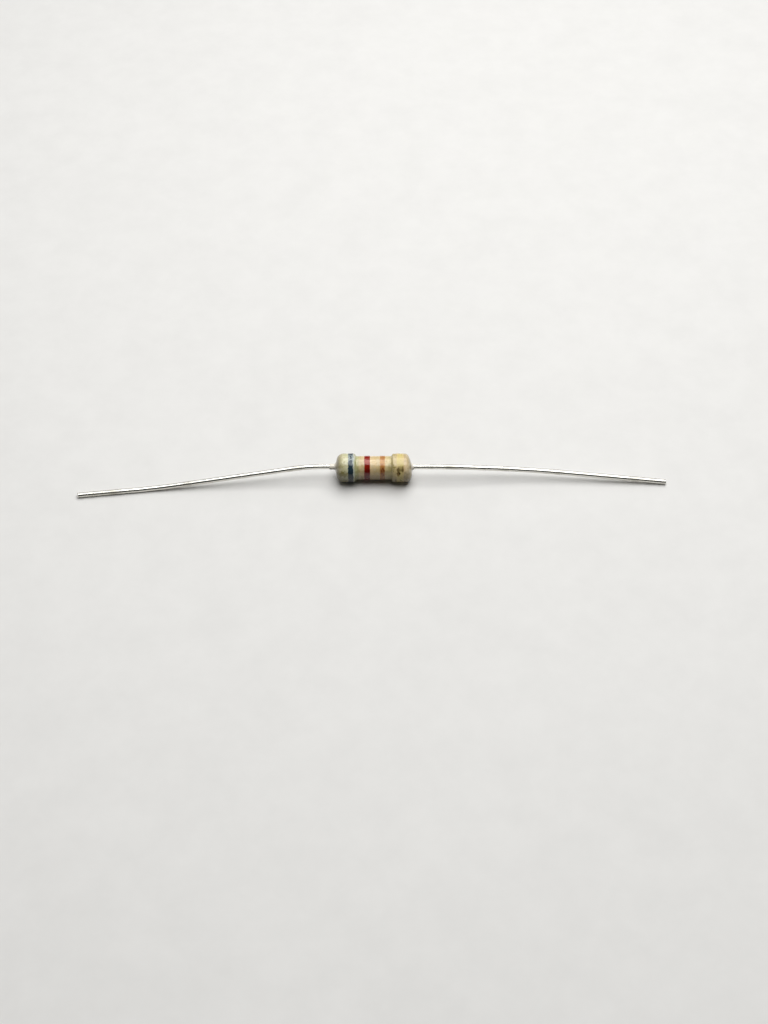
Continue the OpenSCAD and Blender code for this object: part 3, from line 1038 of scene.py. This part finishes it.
# %% [markdown]
# ## The floor
# The part lies on a plain pale board. The camera and shiny metal see it pale, but the light it
# throws back is that of a darker, mid grey board, so that the underside of the small body stays
# in shade and its round shape reads well. The Light Path node tells these two uses apart.

# %% Floor
floor_radius = 1.5
start_fresh()
bpy.ops.mesh.primitive_circle_add(vertices=128, radius=floor_radius, fill_type="NGON",
                                  location=(0, 0, 0))
floor = bpy.context.object
floor.name = "pale_floor"
board = new_material("pale_painted_board")
grain, _, pale_tint = mottled(board, body_place(board), colour("#e2e1de"), colour("#e6e5e2"), 0.3, 0.7,
                              Scale=0.35, Detail=3.0, Roughness=0.6)
rays = add(board, "LightPath").outputs
seen = add(board, "Math", {0: rays["Is Camera Ray"], 1: rays["Is Glossy Ray"]}, operation="MAXIMUM")
board_tint = add(board, "Mix", {"Factor": seen, "A": colour("#6b6a67"), "B": pale_tint},
                 data_type="RGBA")
paint(floor, surfaced(board, board_tint, 0.85, grain, depth=0.01))

# %% [markdown]
# ## Light
# One soft lamp hangs above the part, wide enough that the whole of both wires mirrors it. It
# leans a little to the back and to the right, so that its reflection lies along the upper half
# of the body with a clear lower edge. A larger and much weaker lamp stands behind, and an even
# world fills the rest.

# %% Lamps


def soft_lamp(name, back, right, distance, width, depth, energy):
    """A lamp turned so many degrees back and right of straight up, facing the part."""
    up = Vector((math.tan(math.radians(right)), math.tan(math.radians(back)), 1)).normalized()
    bpy.ops.object.light_add(type="AREA", location=distance * up)
    lamp = bpy.context.object
    lamp.name = name
    lamp.data.shape = "RECTANGLE"
    lamp.data.size = width
    lamp.data.size_y = depth
    lamp.data.energy = energy
    # A lamp shines along its own -Z, which is turned to the origin
    lamp.rotation_euler = (-lamp.location).to_track_quat("-Z", "Y").to_euler()
    print(name, "at", [round(c, 3) for c in lamp.location], "m gives", energy, "W")


soft_lamp("soft_lamp_above", back=13, right=6, distance=0.2, width=0.18, depth=0.23, energy=0.51)
soft_lamp("weak_lamp_behind", back=50, right=0, distance=0.3, width=0.3, depth=0.2, energy=0.19)

# %% World
fill_strength = 0.04
world = bpy.data.worlds.new("even_fill")
bpy.context.scene.world = world
world.use_nodes = True
background = world.node_tree.nodes["Background"]
background.inputs["Color"].default_value = (1, 1, 1, 1)
background.inputs["Strength"].default_value = fill_strength
print("the world adds white light of strength", fill_strength)

# %% [markdown]
# ## Camera
# The camera looks down at fifty degrees from a hand's breadth away, which makes the near part
# of such a small thing look only slightly larger. Its lens sees the two wires from tip to tip.
# It aims a little below the body and to its right, so that the part lies just above the middle
# of the view.

# %% Camera
camera_distance = 0.1306
elevation = math.radians(50)
aim_below = math.radians(1.6483)
aim_right = math.radians(0.3861)
view_back = Vector((0, -math.cos(elevation), math.sin(elevation)))
bpy.ops.object.camera_add(location=axis / MM + camera_distance * view_back)
camera = bpy.context.object
camera.data.lens = 54
camera.data.sensor_width = 36
camera.data.clip_start = 0.005
tilt = Matrix.Rotation(math.pi / 2 - elevation - aim_below, 3, "X")
camera.rotation_euler = (tilt @ Matrix.Rotation(-aim_right, 3, "Y")).to_euler()
bpy.context.scene.camera = camera
bpy.context.scene.view_settings.view_transform = "Standard"
print("camera", [round(c, 4) for c in camera.location], "at", round(camera_distance * MM, 1), "mm")
